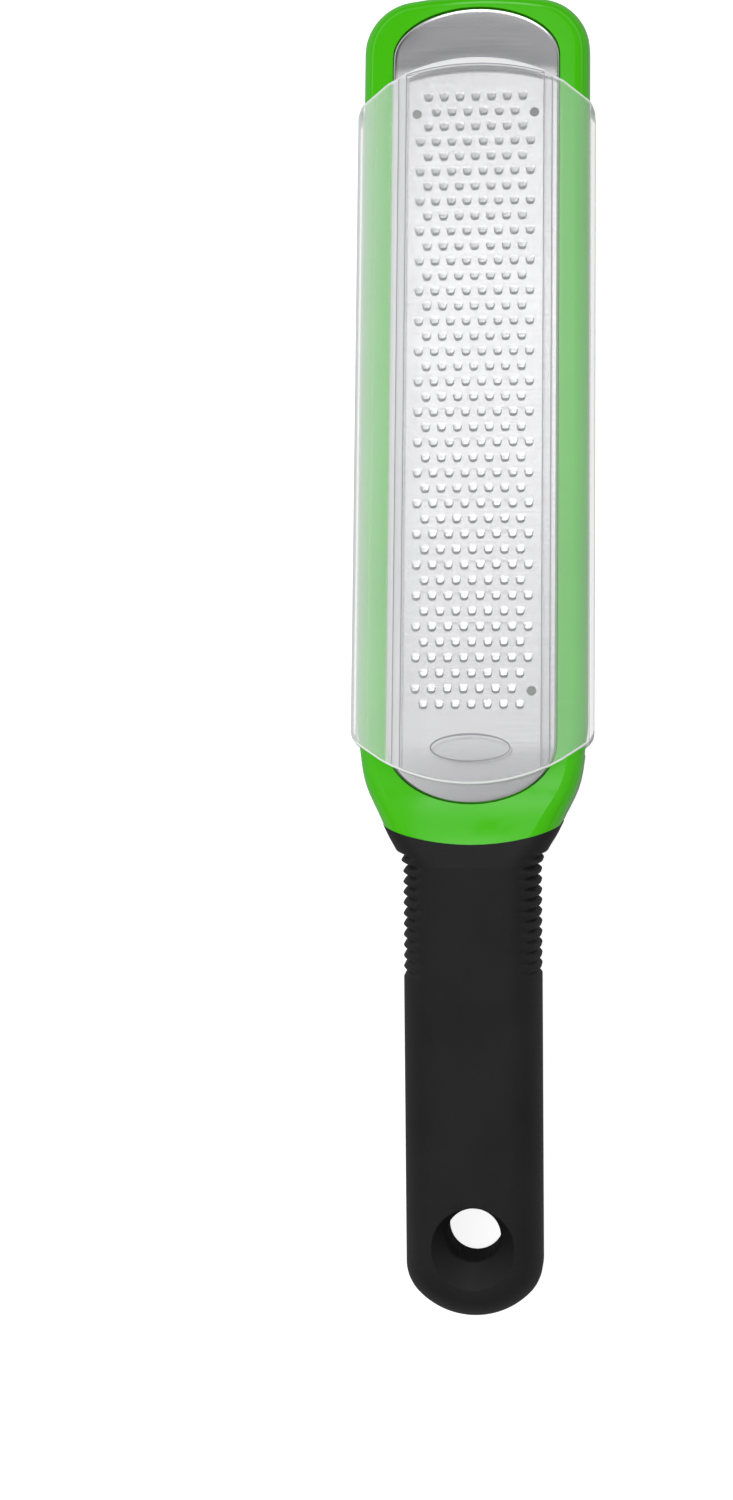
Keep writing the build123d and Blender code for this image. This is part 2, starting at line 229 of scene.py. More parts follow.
# Teeth
tooth_rows = 41
tooth_columns = 7
row_pitch = 3.6875
column_pitch = 3.78
first_row = 172.0
tooth_lead = 1.6
tooth_half = 1.15
tooth_length = 2.05
tooth_square = 0.62
tongue_half = 1.00
tongue_length = 1.70
tongue_rise = 0.62
tongue_curl = 1.35
tongue_edge = 0.12
tongue_waist = 0.7
tongue_bow = 0.06
tongue_bevel = 0.56
bevel_fade = 1.6
bevel_side = 0.7

# Registration holes
pilot_radius = 1.15
pilot_half_spacing = 14.1
pilot_skip = 1.9
pilot_rows = (1, 39)

# Cover
cover_wall = 1.1
cover_start = 5.9
cover_end = 181.2
cover_half = 28.575
cover_end_radius = 42.0
cover_corner = 4.5
cover_bottom = 5.5
cover_lip_half = 25.425
cover_top = 17.2
cover_crown = 0.35
cover_edge_round = 0.3
end_lip_depth = 0.9
inner_round_share = 0.8
inner_round_least = 0.15

# Corners of the cover's outer section: place across, height and radius
cover_corners = (
    (16.5, 16.85, 0.5),
    (18.4, 15.75, 0.5),
    (21.1, 15.7, 1.5),
    (27.6, 13.2, 1.2),
    (28.575, 11.6, 1.2),
)

# Thin lines of painted shade at the cover's bends, and bright rims of painted highlight at its ends
shade_line_half = 0.28
top_highlight_middle = 1.5
top_highlight_side = 0.2
low_highlight = 0.45

# Oval recess
medallion_half_length = 9.1
medallion_half_height = 2.95
medallion_place = 14.4
medallion_depth = 0.45
medallion_flare = 0.45

# Handle
handle_axis = 6.393
handle_length = 118.172
handle_half = 16.25
handle_height = 21.5
handle_corner = 8.0
butt_depth = 13.0
butt_side_radius = 10.5

# Shoulder between head and handle
head_half = 27.2
head_height = 13.0
head_top_round = 3.5
head_bottom_round = 1.5
shoulder_start = 26.0
shoulder_end = 10.0
shoulder_place_shares = (0.0, 0.086, 0.217, 0.389, 0.542, 0.672, 0.803, 0.917, 1.0)
shoulder_width_shares = (1.0, 1.0, 0.975, 0.90, 0.79, 0.60, 0.35, 0.14, 0.0)
shoulder_height_shares = (0.0, 0.0, 0.01, 0.03, 0.09, 0.22, 0.47, 0.82, 1.0)

# Curved line where the soft grip starts
boundary_radius = 57.0
boundary_place = 4.8
boundary_first_share = 4.0

# Parts of a section of the handle
lower_flat = -2
lower_round = -1
side_wall = 0
upper_round = 1
upper_flat = 2

# Fins on the sides of the grip
fin_grooves = 12
fin_pitch = 2.5
fin_start = 7.95
fin_first_depth = 1.8
fin_last_depth = 1.1
fin_reach = 4.6
fin_sharpness = 0.85
rows_per_fin = 10
full_width_margin = 0.01

# Hang hole with a dish on both faces
hole_radius = 6.45
hole_from_butt = 20.0
dish_radius = 9.9
dish_depth = 4.0
dish_shift = 2.4
throat_soft = 0.35
throat_rise = 0.25
mouth_flare = 0.6
mouth_rise = 0.2
overrun = 3.0


def mix(first, last, share):
    """Value between two sizes."""
    return first + (last - first) * share


def material(name):
    """New node material, its tree and its Principled shader."""
    made = bpy.data.materials.new(name)
    made.use_nodes = True
    return made, made.node_tree, made.node_tree.nodes["Principled BSDF"]


def calculate(tree, operation, first, second=None):
    """Result of a calculation on values or numbers."""
    made = tree.nodes.new("ShaderNodeMath")
    made.operation = operation
    for socket, value in zip(made.inputs, (first, second)):
        if isinstance(value, bpy.types.NodeSocket):
            tree.links.new(value, socket)
        elif value is not None:
            socket.default_value = value
    return made.outputs["Value"]


def coordinates(tree, kind):
    """X, Y and Z of a kind of texture coordinate."""
    place = tree.nodes.new("ShaderNodeTexCoord")
    split = tree.nodes.new("ShaderNodeSeparateXYZ")
    tree.links.new(place.outputs[kind], split.inputs["Vector"])
    return split.outputs


def noise(tree, scale, detail, stretch=(1.0, 1.0, 1.0)):
    """Noise over the object's own coordinates, stretched by a scale along each axis."""
    place = tree.nodes.new("ShaderNodeTexCoord")
    mapping = tree.nodes.new("ShaderNodeMapping")
    mapping.inputs["Scale"].default_value = stretch
    texture = tree.nodes.new("ShaderNodeTexNoise")
    texture.inputs["Scale"].default_value = scale
    texture.inputs["Detail"].default_value = detail
    tree.links.new(place.outputs["Object"], mapping.inputs["Vector"])
    tree.links.new(mapping.outputs["Vector"], texture.inputs["Vector"])
    return texture.outputs["Fac"]


def ramp(tree, value, colours, places=(0.3, 0.7)):
    """Colour between two colours, driven by a value."""
    made = tree.nodes.new("ShaderNodeValToRGB")
    for element, colour, place in zip(made.color_ramp.elements, colours, places):
        element.position = place
        element.color = colour
    tree.links.new(value, made.inputs["Fac"])
    return made.outputs["Color"]


def stops(tree, value, table):
    """Level through any number of stops, driven by a value from zero to one."""
    made = tree.nodes.new("ShaderNodeValToRGB")
    elements = made.color_ramp.elements
    while len(elements) < len(table):
        elements.new(0.5)
    for element, (place, level) in zip(elements, table):
        element.position = place
        element.color = (level, level, level, 1.0)
    tree.links.new(value, made.inputs["Fac"])
    return made.outputs["Color"]


def spread(tree, value, levels, limits=(0.0, 1.0)):
    """Number between two levels, driven by a value between two limits."""
    made = tree.nodes.new("ShaderNodeMapRange")
    ends = ("From Min", "From Max", "To Min", "To Max")
    for end, number in zip(ends, (*limits, *levels)):
        made.inputs[end].default_value = number
    tree.links.new(value, made.inputs["Value"])
    return made.outputs["Result"]


def bump(tree, shader, height, strength, distance):
    """Bump on a shader from a height."""
    made = tree.nodes.new("ShaderNodeBump")
    made.inputs["Strength"].default_value = strength
    made.inputs["Distance"].default_value = distance
    tree.links.new(height, made.inputs["Height"])
    tree.links.new(made.outputs["Normal"], shader.inputs["Normal"])


def green_plastic():
    """Glossy green moulding with a trace of flow in its colour and skin."""
    made, tree, shader = material("green_plastic")
    flow = noise(tree, green_flow_scale, high_detail)
    tree.links.new(ramp(tree, flow, green_colours), shader.inputs["Base Color"])
    skin = noise(tree, green_skin_scale, low_detail)
    tree.links.new(spread(tree, skin, green_roughness), shader.inputs["Roughness"])
    shader.inputs["Specular IOR Level"].default_value = green_specular
    across = coordinates(tree, "Object")["X"]
    crown = calculate(tree, "MULTIPLY", calculate(tree, "MULTIPLY", across, across), -crown_rate)
    ripple = calculate(tree, "MULTIPLY", noise(tree, ripple_scale, low_detail), ripple_height)
    bump(tree, shader, calculate(tree, "ADD", crown, ripple), 1.0, 1.0)
    return made


def black_rubber():
    """Matte soft black moulding with a fine spark-eroded skin."""
    made, tree, shader = material("black_rubber")
    cloud = noise(tree, rubber_cloud_scale, high_detail)
    tree.links.new(ramp(tree, cloud, rubber_colours), shader.inputs["Base Color"])
    skin = noise(tree, rubber_skin_scale, middle_detail)
    tree.links.new(spread(tree, skin, rubber_roughness), shader.inputs["Roughness"])
    shader.inputs["Specular IOR Level"].default_value = rubber_specular
    bump(tree, shader, skin, rubber_bump_strength, rubber_bump_height)
    return made


def brushed_steel():
    """Stainless sheet, brushed across the blade and polished beyond the teeth."""
    made, tree, shader = material("brushed_steel")
    shader.inputs["Metallic"].default_value = 1.0
    brushing = noise(tree, brushing_scale, middle_detail, brushing_stretch)
    cloud = noise(tree, steel_cloud_scale, low_detail)
    tree.links.new(ramp(tree, brushing, steel_colours, steel_colour_places), shader.inputs["Base Color"])
    along = coordinates(tree, "Object")["Y"]
    finish = spread(tree, along, (satin_roughness, polished_roughness), polish_limits)
    wear = calculate(tree, "ADD", finish, spread(tree, cloud, (0.0, steel_wear)))
    tree.links.new(wear, shader.inputs["Roughness"])
    bump(tree, shader, brushing, steel_bump_strength, steel_bump_height)
    return made


def clear_plastic(name, tint, opacity, edge_opacity):
    """Clear moulding with a milky haze and polished skin, more opaque where it is seen edge on and, as
    painted glare, on its left side.
    """
    made, tree, shader = material(name)
    haze = noise(tree, clear_haze_scale, low_detail)
    hazy = tuple(part * clear_haze_tint for part in tint)
    tree.links.new(ramp(tree, haze, (hazy + (1.0,), tint + (1.0,))), shader.inputs["Base Color"])
    tree.links.new(spread(tree, haze, clear_roughness), shader.inputs["Roughness"])
    weight = tree.nodes.new("ShaderNodeLayerWeight")
    weight.inputs["Blend"].default_value = clear_facing_blend
    levels = [(turned, mix(opacity * factor, edge_opacity, share)) for turned, factor, share in clear_turns]
    # Painted glare: opacity added across the left side of the cover
    across = spread(tree, coordinates(tree, "Object")["X"], (0.0, 1.0), (-painted_glare_half, painted_glare_half))
    painted_glare = stops(tree, across, [((x / painted_glare_half + 1) / 2, level) for x, level in painted_glare_places])
    alpha = calculate(tree, "ADD", stops(tree, weight.outputs["Facing"], levels), painted_glare)
    tree.links.new(alpha, shader.inputs["Alpha"])
    shader.inputs["IOR"].default_value = clear_ior
    return made


def smooth(mesh, sharp_angle):
    """Shade a mesh smooth, apart from its sharp edges."""
    mesh.shade_smooth()
    mesh.set_sharp_from_angle(angle=radians(sharp_angle))


def dress(name, made):
    """Give a carried-over node its material and smooth its round faces."""
    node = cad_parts[name]
    node.data.materials.clear()
    node.data.materials.append(made)
    smooth(node.data, moulding_sharp)


def heal(mesh):
    """Join points that coincide and turn every face outwards."""
    made = bmesh.new()
    made.from_mesh(mesh)
    bmesh.ops.remove_doubles(made, verts=made.verts, dist=same_point)
    bmesh.ops.recalc_face_normals(made, faces=made.faces)
    made.to_mesh(mesh)
    made.free()


def bend_matrix(slope):
    """Turns coordinates in millimetres from the bend, along a slope, into the frame's metres."""
    place = Matrix.Translation((0, bend_y * millimetre, bend_z * millimetre))
    return place @ Matrix.Rotation(radians(slope), 4, "X") @ Matrix.Scale(millimetre, 4)


head_matrix = bend_matrix(-head_slope)
handle_matrix = bend_matrix(handle_slope)


def new_object(name, data):
    """New object in the scene."""
    made = bpy.data.objects.new(name, data)
    bpy.context.scene.collection.objects.link(made)
    return made


def mesh_object(name, mesh, place, materials, sharp_angle):
    """Object of a mesh that is put in its place, healed, dressed and shaded."""
    mesh.transform(place)
    heal(mesh)
    mesh.materials.clear()
    for made in materials:
        mesh.materials.append(made)
    smooth(mesh, sharp_angle)
    return new_object(name, mesh)


def piece(name, points, faces, place, materials, sharp_angle):
    """Mesh piece from points in millimetres and faces."""
    mesh = bpy.data.meshes.new(name)
    mesh.from_pydata(points, [], faces)
    return mesh_object(name, mesh, place, materials, sharp_angle)


def carve(shape, cutter, sharp_angle):
    """Cut one shape out of another and shade what is left."""
    cut = shape.modifiers.new("cut", "BOOLEAN")
    cut.operation = "DIFFERENCE"
    cut.solver = "EXACT"
    cut.object = cutter
    graph = bpy.context.evaluated_depsgraph_get()
    mesh = bpy.data.meshes.new_from_object(shape.evaluated_get(graph))
    shape.modifiers.clear()
    shape.data = mesh
    smooth(mesh, sharp_angle)
    bpy.data.objects.remove(cutter)


def band_faces(rings, count, closed=False):
    """Faces between rings of points that follow one another."""
    faces = []
    for ring in range(rings if closed else rings - 1):
        near = ring * count
        far = (ring + 1) % rings * count
        for place in range(count):
            after = (place + 1) % count
            faces.append((near + place, near + after, far + after, far + place))
    return faces


def stack_faces(rings, count):
    """Faces of a block of rings, closed at both ends."""
    faces = band_faces(rings, count)
    faces.append(tuple(range(count))[::-1])
    faces.append(tuple(range((rings - 1) * count, rings * count)))
    return faces


def blade_height(across, along):
    """Height of the blade's top, which bends down at both ends, sooner at the tip's two sides."""
    low = blade_start + bend_length - along
    high = along - blade_end + bend_length + bend_fall * (across / blade_half) ** 2
    past = max(0.0, low, high)
    return blade_top - bend_radius + sqrt(bend_radius ** 2 - past ** 2)


def blade_outline():
    """Points and inward normals round the blade, from the middle of the handle end, for x > 0."""
    samples = 36
    side_samples = 8
    rows = []
    for step in range(samples + 1):
        turn = pi / 2 * step / samples
        x = blade_half * sin(turn)
        y = blade_start + blade_start_round * (1 - cos(turn))
        rows.append((x, y, -sin(turn) / blade_half, cos(turn) / blade_start_round))
    flat_end = blade_end - bend_length - bend_fall
    for step in range(side_samples):
        y = mix(flat_end, blade_end - blade_end_round, step / side_samples)
        rows.append((blade_half, y, -1.0, 0.0))
    for step in range(samples + 1):
        turn = pi / 2 * (1 - step / samples)
        x = blade_half * sin(turn)
        y = blade_end - blade_end_round * (1 - cos(turn))
        rows.append((x, y, -sin(turn) / blade_half, -cos(turn) / blade_end_round))
    return [(x, y, nx / hypot(nx, ny), ny / hypot(nx, ny)) for x, y, nx, ny in rows]


def blade_rim():
    """Closed profile of the folded rim: inward offset, and height below the top or a fixed one."""
    top_steps = 6
    under_steps = 2
    top = [(rim_flat, 0.0, None)]
    for step in range(top_steps + 1):
        turn = pi / 2 * step / top_steps
        top.append((rim_radius * (1 - sin(turn)), rim_radius * (1 - cos(turn)), None))
    flange_top = flange_low + blade_sheet
    foot = [
        (0.0, None, flange_top + fold_round),
        (-fold_round_middle, None, flange_top + fold_round_middle),
        (-fold_round, None, flange_top),
        (-flange_reach, None, flange_top),
        (-flange_reach, None, flange_low),
        (blade_sheet, None, flange_low),
    ]
    under = []
    inner = rim_radius - blade_sheet
    for step in range(under_steps + 1):
        turn = pi / 2 * (1 - step / under_steps)
        inward = blade_sheet + inner * (1 - sin(turn))
        under.append((inward, blade_sheet + inner * (1 - cos(turn)), None))
    under.append((rim_flat, blade_sheet, None))
    return top + foot + under


def blade_shell(outline):
    """Folded rim all round the blade."""
    mirrored = [(-x, y, -nx, ny) for x, y, nx, ny in reversed(outline[1:-1])]
    ring = outline + mirrored
    profile = blade_rim()
    points = []
    for x, y, nx, ny in ring:
        for inward, below, fixed in profile:
            px = x + nx * inward
            py = y + ny * inward
            height = fixed if below is None else blade_height(px, py) - below
            points.append((px, py, height))
    return points, band_faces(len(ring), len(profile), closed=True)


def sheet_end(outline, columns=24):
    """Bent end of the blade's top, ruled across from side to side."""
    points = []
    for x, y, nx, ny in outline:
        half = max(0.0, x + nx * rim_flat)
        along = y + ny * rim_flat
        for level in (0.0, blade_sheet):
            for column in range(columns + 1):
                across = mix(-half, half, column / columns)
                points.append((across, along, blade_height(across, along) - level))
    faces = []
    row = columns + 1
    for step in range(len(outline) - 1):
        for level in (0, 1):
            for column in range(columns):
                first = (2 * step + level) * row + column
                far = first + 2 * row
                quad = (first, first + 1, far + 1, far)
                faces.append(quad if level == 0 else quad[::-1])
        left = 2 * step * row
        right = left + columns
        faces.append((left, left + 2 * row, left + 3 * row, left + row))
        faces.append((right, right + row, right + 3 * row, right + 2 * row))
    last = 2 * (len(outline) - 1) * row
    for column in range(columns):
        near = last + column
        faces.append((column, column + row, column + row + 1, column + 1))
        faces.append((near, near + 1, near + 1 + row, near + row))
    return points, faces


def pilot_places():
    """Places of the three registration holes."""
    top = first_row - pilot_rows[0] * row_pitch
    low = first_row - pilot_rows[1] * row_pitch
    return [(-pilot_half_spacing, top), (pilot_half_spacing, top), (pilot_half_spacing, low)]


def pilot_takes(across, along):
    """True where a registration hole takes the place of a tooth."""
    return any(abs(across - x) <= pilot_skip and abs(along - y) <= pilot_skip for x, y in pilot_places())


def tooth_places():
    """Places of the roots of the teeth."""
    places = []
    for row in range(tooth_rows):
        count = tooth_columns + row % 2
        along = first_row - row * row_pitch
        for column in range(count):
            across = (column - (count - 1) / 2) * column_pitch
            if not pilot_takes(across, along):
                places.append((across, along + tooth_lead))
    return places


def squared(value):
    """Cosine or sine of a turn, pushed outwards to square off a rounded form."""
    return abs(value) ** tooth_square * (1 if value >= 0 else -1)


def opening(x, y):
    """Outline of a tooth's opening, from the right end of its root round to the left."""
    steps = 12
    turns = [pi * step / steps for step in range(steps + 1)]
    return [(x + tooth_half * squared(cos(turn)), y - tooth_length * squared(sin(turn))) for turn in turns]


def field_loops():
    """Outlines of the flat middle of the blade, its openings and its registration holes."""
    circle_steps = 28
    half = blade_half - rim_flat
    low = blade_start + bend_length
    high = blade_end - bend_length - bend_fall
    loops = [[(-half, low), (half, low), (half, high), (-half, high)]]
    loops += [opening(x, y) for x, y in tooth_places()]
    turns = [2 * pi * step / circle_steps for step in range(circle_steps)]
    for x, y in pilot_places():
        loops.append([(x + pilot_radius * cos(turn), y + pilot_radius * sin(turn)) for turn in turns])
    return loops


def field_plate(made):
    """Flat middle of the blade, with the openings of the teeth and the registration holes."""
    curve = bpy.data.curves.new("field", "CURVE")
    curve.dimensions = "2D"
    curve.fill_mode = "BOTH"
    curve.extrude = blade_sheet / 2
    for loop in field_loops():
        spline = curve.splines.new("POLY")
        spline.points.add(len(loop) - 1)
        for point, (x, y) in zip(spline.points, loop):
            point.co = (x, y, 0, 1)
        spline.use_cyclic_u = True
    drawn = bpy.data.objects.new("field", curve)
    mesh = bpy.data.meshes.new_from_object(drawn)
    bpy.data.objects.remove(drawn)
    place = head_matrix @ Matrix.Translation((0, 0, blade_top - blade_sheet / 2))
    return mesh_object("blade_field", mesh, place, [made], sheet_sharp)


def tooth_point(x, y, turn, share, bevel, below):
    """Point of a raised tongue, by its turn round the edge and its share of the way out to it."""
    waist = min(1.0, 2 * sin(turn)) ** tongue_waist
    edge_x = mix(tooth_half, tongue_half, waist) * squared(cos(turn))
    across = mix(tooth_half * cos(turn), edge_x, share)
    along = tongue_length * squared(sin(turn)) * share
    rise = tongue_rise * (along / tongue_length) ** tongue_curl
    rise += tongue_bow * sin(turn) * sin(pi * share)
    thick = mix(blade_sheet, tongue_edge, along / tongue_length)
    lean = bevel * max(0.0, sin(turn)) ** bevel_fade
    across += lean * cos(turn) * bevel_side
    return (x + across, y - along - lean * sin(turn), blade_top + rise - below * thick - lean)


def tooth_points(x, y, steps, rows):
    """Points of one raised tongue: its top surface with a bevelled edge, then its underside."""
    points = []
    for below in (0, 1):
        for row in range(rows + 1):
            share = min(1.0, row / (rows - 1))
            bevel = tongue_bevel if row == rows and below == 0 else 0.0
            for step in range(steps + 1):
                points.append(tooth_point(x, y, pi * step / steps, share, bevel, below))
    return points


def teeth():
    """All the raised tongues of the blade."""
    steps = 12
    rows = 5
    row_points = steps + 1
    side = row_points * (rows + 1)
    points = []
    faces = []
    for x, y in tooth_places():
        start = len(points)
        points += tooth_points(x, y, steps, rows)
        for row in range(rows):
            for step in range(steps):
                first = start + row * row_points + step
                quad = (first, first + 1, first + 1 + row_points, first + row_points)
                faces.append(quad)
                faces.append(tuple(corner + side for corner in reversed(quad)))
        edge = start + rows * row_points
        for step in range(steps):
            faces.append((edge + step, edge + step + 1, edge + step + 1 + side, edge + step + side))
            root = start + step
            faces.append((root, root + side, root + side + 1, root + 1))
        for row in range(rows):
            for end in (0, steps):
                first = start + row * row_points + end
                faces.append((first, first + row_points, first + row_points + side, first + side))
    return points, faces


def blade(made):
    """The whole blade: folded rim, bent ends, toothed middle and tongues."""
    outline = blade_outline()
    flat_start = blade_start + bend_length
    flat_end = blade_end - bend_length - bend_fall
    low_rows = [row for row in outline if row[1] <= flat_start + row_margin]
    high_rows = [row for row in outline if row[1] >= flat_end - row_margin]
    rim = piece("blade_rim", *blade_shell(outline), head_matrix, [made], rim_sharp)
    low_end = piece("blade_low_end", *sheet_end(low_rows), head_matrix, [made], sheet_sharp)
    high_end = piece("blade_high_end", *sheet_end(high_rows), head_matrix, [made], sheet_sharp)
    tongues = piece("blade_teeth", *teeth(), head_matrix, [made], teeth_sharp)
    for shape in (rim, low_end, high_end, tongues, field_plate(made)):
        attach(shape, "zester")
    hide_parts("blade")


def end_sag(across):
    """How far the cover's end falls back at a distance from its middle, with its corner round."""
    centre = cover_half - cover_corner
    rest = cover_end_radius - cover_corner
    corner_sag = cover_end_radius - sqrt(rest ** 2 - centre ** 2)
    tangent = centre * cover_end_radius / rest
    across = min(abs(across), cover_half)
    if across <= tangent:
        return cover_end_radius - sqrt(cover_end_radius ** 2 - across ** 2)
    return corner_sag - sqrt(max(0.0, cover_corner ** 2 - (across - centre) ** 2))


def rounded(corners, steps=5):
    """Open path through corners, each rounded by its radius, apart from both ends."""
    path = [corners[0][:2]]
    for before, corner, after in zip(corners, corners[1:], corners[2:]):
        here = Vector(corner[:2])
        back = (Vector(before[:2]) - here).normalized()
        ahead = (Vector(after[:2]) - here).normalized()
        half_angle = back.angle(ahead) / 2
        reach = corner[2] / sin(half_angle) * cos(half_angle)
        centre = here + (back + ahead).normalized() * corner[2] / sin(half_angle)
        first = here + back * reach - centre
        last = here + ahead * reach - centre
        for step in range(steps + 1):
            share = step / steps
            spoke = (first * (1 - share) + last * share).normalized() * corner[2]
            path.append(tuple(centre + spoke))
    path.append(corners[-1][:2])
    return path


def inset_corner(before, corner, after, inset):
    """Corner of a path, drawn in by an inset on both of its sides."""
    here = Vector(corner[:2])
    back = (here - Vector(before[:2])).normalized()
    ahead = (Vector(after[:2]) - here).normalized()
    inward_back = Vector((back.y, -back.x))
    inward_ahead = Vector((ahead.y, -ahead.x))
    middle = (inward_back + inward_ahead).normalized()
    here += middle * inset / middle.dot(inward_ahead)
    radius = max(inner_round_least, corner[2] * inner_round_share) if inset else corner[2]
    return (here.x, here.y, radius)


def cover_half_path(inset):
    """Right half of the cover's section, from its middle to its bottom, drawn in by an inset."""
    crown_steps = 8
    whole = [(0.0, cover_top, 0.0), *cover_corners, (cover_half, cover_bottom, 0.0)]
    corners = [(0.0, cover_top - inset, 0.0)]
    for before, corner, after in zip(whole, whole[1:], whole[2:]):
        corners.append(inset_corner(before, corner, after, inset))
    corners.append((cover_half - inset, cover_bottom, 0.0))
    path = rounded(corners)
    edge_x, edge_w = path[1]
    arc = []
    for step in range(crown_steps):
        across = edge_x * step / crown_steps
        arc.append((across, edge_w + cover_crown * (1 - (across / edge_x) ** 2)))
    return arc + path[1:]


def full_path(half_path):
    """Whole section from the left bottom to the right bottom."""
    return [(-x, w) for x, w in reversed(half_path[1:])] + half_path


def highlight_rim_width(across, far):
    """Width of the bright rim of painted highlight at an end of the cover, widest in the middle of the far
    end.
    """
    if not far:
        return low_highlight
    share = min(1.0, abs(across) / cover_corners[1][0])
    return mix(top_highlight_middle, top_highlight_side, share ** 2)


def cover_kind(steps_in, middle_row, across, outside, far):
    """Kind of clear plastic of a face of the cover, by its place along and across it."""
    # The rims at both ends take the painted highlight
    if steps_in < middle_row - 1:
        return highlight_rim_kind
    # Under the far rim, a line of painted shade across the panel
    if steps_in < middle_row:
        return shade_line_kind if far and across < cover_corners[0][0] else plain_kind
    # Lines of painted shade along the bends, on the outside
    bends = (cover_corners[0][0], cover_corners[1][0])
    if outside and any(abs(across - bend) < shade_line_half for bend in bends):
        return shade_line_kind
    return plain_kind


def cover_section(outer, inner, inset, lip):
    """Closed section of the cover: its outside, right lip, inside and left lip."""
    outside = []
    for place, (x, w) in enumerate(outer):
        before = Vector(outer[max(0, place - 1)])
        after = Vector(outer[min(len(outer) - 1, place + 1)])
        run = (after - before).normalized()
        outside.append((x + run.y * inset, w - run.x * inset))
    right_lip = [(cover_lip_half, cover_bottom), (cover_lip_half, cover_bottom + cover_wall)]
    left_lip = [(-x, w) for x, w in reversed(right_lip)]
    drop = end_lip_depth if lip else 0.0
    lip_edge = cover_corners[0][0] - cover_wall
    inside = [(x, w - drop if abs(x) < lip_edge else w) for x, w in reversed(inner)]
    return outside + right_lip + inside + left_lip


def cover_stations():
    """Rows from one end of the cover to the other: way in, inset, end lip or none, far end or near."""
    round_steps = 4
    stations = []
    for step in range(round_steps + 1):
        turn = pi / 2 * step / round_steps
        stations.append((cover_edge_round * (1 - cos(turn)), cover_edge_round * (1 - sin(turn)), True))
    stations.append((None, 0.0, True))
    stations.append((None, 0.0, False))
    near = [(*station, False) for station in stations]
    return near + [(*station, True) for station in reversed(stations)]


def cover_shape(materials):
    """Cover swept along the head, with lips, end lips and rounded rims."""
    outer = full_path(cover_half_path(0))
    inner = [(x, max(w, cover_bottom + cover_wall)) for x, w in full_path(cover_half_path(cover_wall))]
    rows = cover_stations()
    points = []
    for along, inset, lip, far in rows:
        loop = cover_section(outer, inner, inset, lip)
        for x, w in loop:
            back_off = along
            # Rows without a way in are set back by the painted highlight's width, and also by the painted
            # shade line's where the end lip stops
            if along is None:
                back_off = highlight_rim_width(x, far) + (0.0 if lip else shade_line_half)
            back_off += end_sag(x)
            points.append((x, cover_end - back_off if far else cover_start + back_off, w))
    count = len(outer)
    length = len(loop)
    middle_row = len(rows) // 2 - 1
    faces = []
    kinds = []
    for row in range(len(rows) - 1):
        near = row * length
        steps_in = min(row, len(rows) - 2 - row)
        for place in range(length):
            after = (place + 1) % length
            faces.append((near + place, near + length + place, near + length + after, near + after))
            across = (abs(points[near + place][0]) + abs(points[near + after][0])) / 2
            kinds.append(cover_kind(steps_in, middle_row, across, place < count, row > middle_row))
    faces += cover_end_faces(count, length, (len(rows) - 1) * length)
    # The end faces take the painted highlight too
    kinds += [highlight_rim_kind] * (len(faces) - len(kinds))
    shape = piece("cover_shell", points, faces, head_matrix, materials, moulding_sharp)
    shape.data.polygons.foreach_set("material_index", kinds)
    return shape


def cover_end_faces(count, length, last):
    """Faces that close the cover's section at its first and last rows."""
    faces = []
    first_inner = count + 2
    for place in range(count - 1):
        mate = first_inner + count - 1 - place
        faces.append((place, place + 1, mate - 1, mate))
        faces.append((last + place, last + mate, last + mate - 1, last + place + 1))
    for base, flip in ((0, False), (last, True)):
        right = (base + count - 1, base + count, base + count + 1, base + first_inner)
        left = (base, base + first_inner + count - 1, base + length - 2, base + length - 1)
        for quad in (right, left):
            faces.append(quad[::-1] if flip else quad)
    return faces


def medallion_cutter(materials):
    """Oval block with a flared rim, for the recess in the cover's panel."""
    steps = 72
    flat_lean_x = 0.1
    flat_lean_y = 0.3
    levels = (
        (cover_top - medallion_depth, 0.0),
        (cover_top, medallion_flare),
        (cover_top + overrun, medallion_flare),
    )
    points = []
    for height, grow in levels:
        for step in range(steps):
            turn = 2 * pi * step / steps
            x = (medallion_half_length + grow) * cos(turn)
            points.append((x, medallion_place + (medallion_half_height + grow) * sin(turn), height))
    faces = stack_faces(len(levels), steps)
    cutter = piece("medallion_cutter", points, faces, head_matrix, materials, moulding_sharp)
    # Flat faces take the recess's own kind, the walls painted shade
    for face in cutter.data.polygons:
        flat = abs(face.normal.x) < flat_lean_x and abs(face.normal.y) < flat_lean_y
        face.material_index = recess_kind if flat else shade_line_kind
    return cutter


def cover(materials):
    """Clear cover with its oval recess, which is left bare."""
    shape = cover_shape(materials)
    carve(shape, medallion_cutter(materials), moulding_sharp)
    shape.visible_shadow = False
    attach(shape, "cover")
    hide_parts("cover")


def section_levels():
    """Part and turn of each level that divides a section, from its underside to its top."""
    round_steps = 12
    flat_steps = 6
    low = [(lower_round, pi / 2 * (1 - step / round_steps)) for step in range(round_steps + 1)]
    high = [(upper_round, pi / 2 * step / round_steps) for step in range(round_steps + 1)]
    under = [(lower_flat, step / flat_steps) for step in range(flat_steps)]
    over = [(upper_flat, 1 - (step + 1) / flat_steps) for step in range(flat_steps)]
    side = [(side_wall, share) for share in (0.0, 0.5, 1.0)]
    return under + low + side + high + over


def section_point(half, height, top_round, bottom_round, level):
    """Point on the right half of a rounded section, from its middle."""
    part, turn = level
    top = height / 2 - top_round
    low = bottom_round - height / 2
    if part == side_wall:
        return half, mix(low, top, turn)
    if part == upper_flat:
        return (half - top_round) * turn, height / 2
    if part == lower_flat:
        return (half - bottom_round) * turn, -height / 2
    if part == upper_round:
        return half - top_round * (1 - cos(turn)), top + top_round * sin(turn)
    return half - bottom_round * (1 - cos(turn)), low - bottom_round * sin(turn)


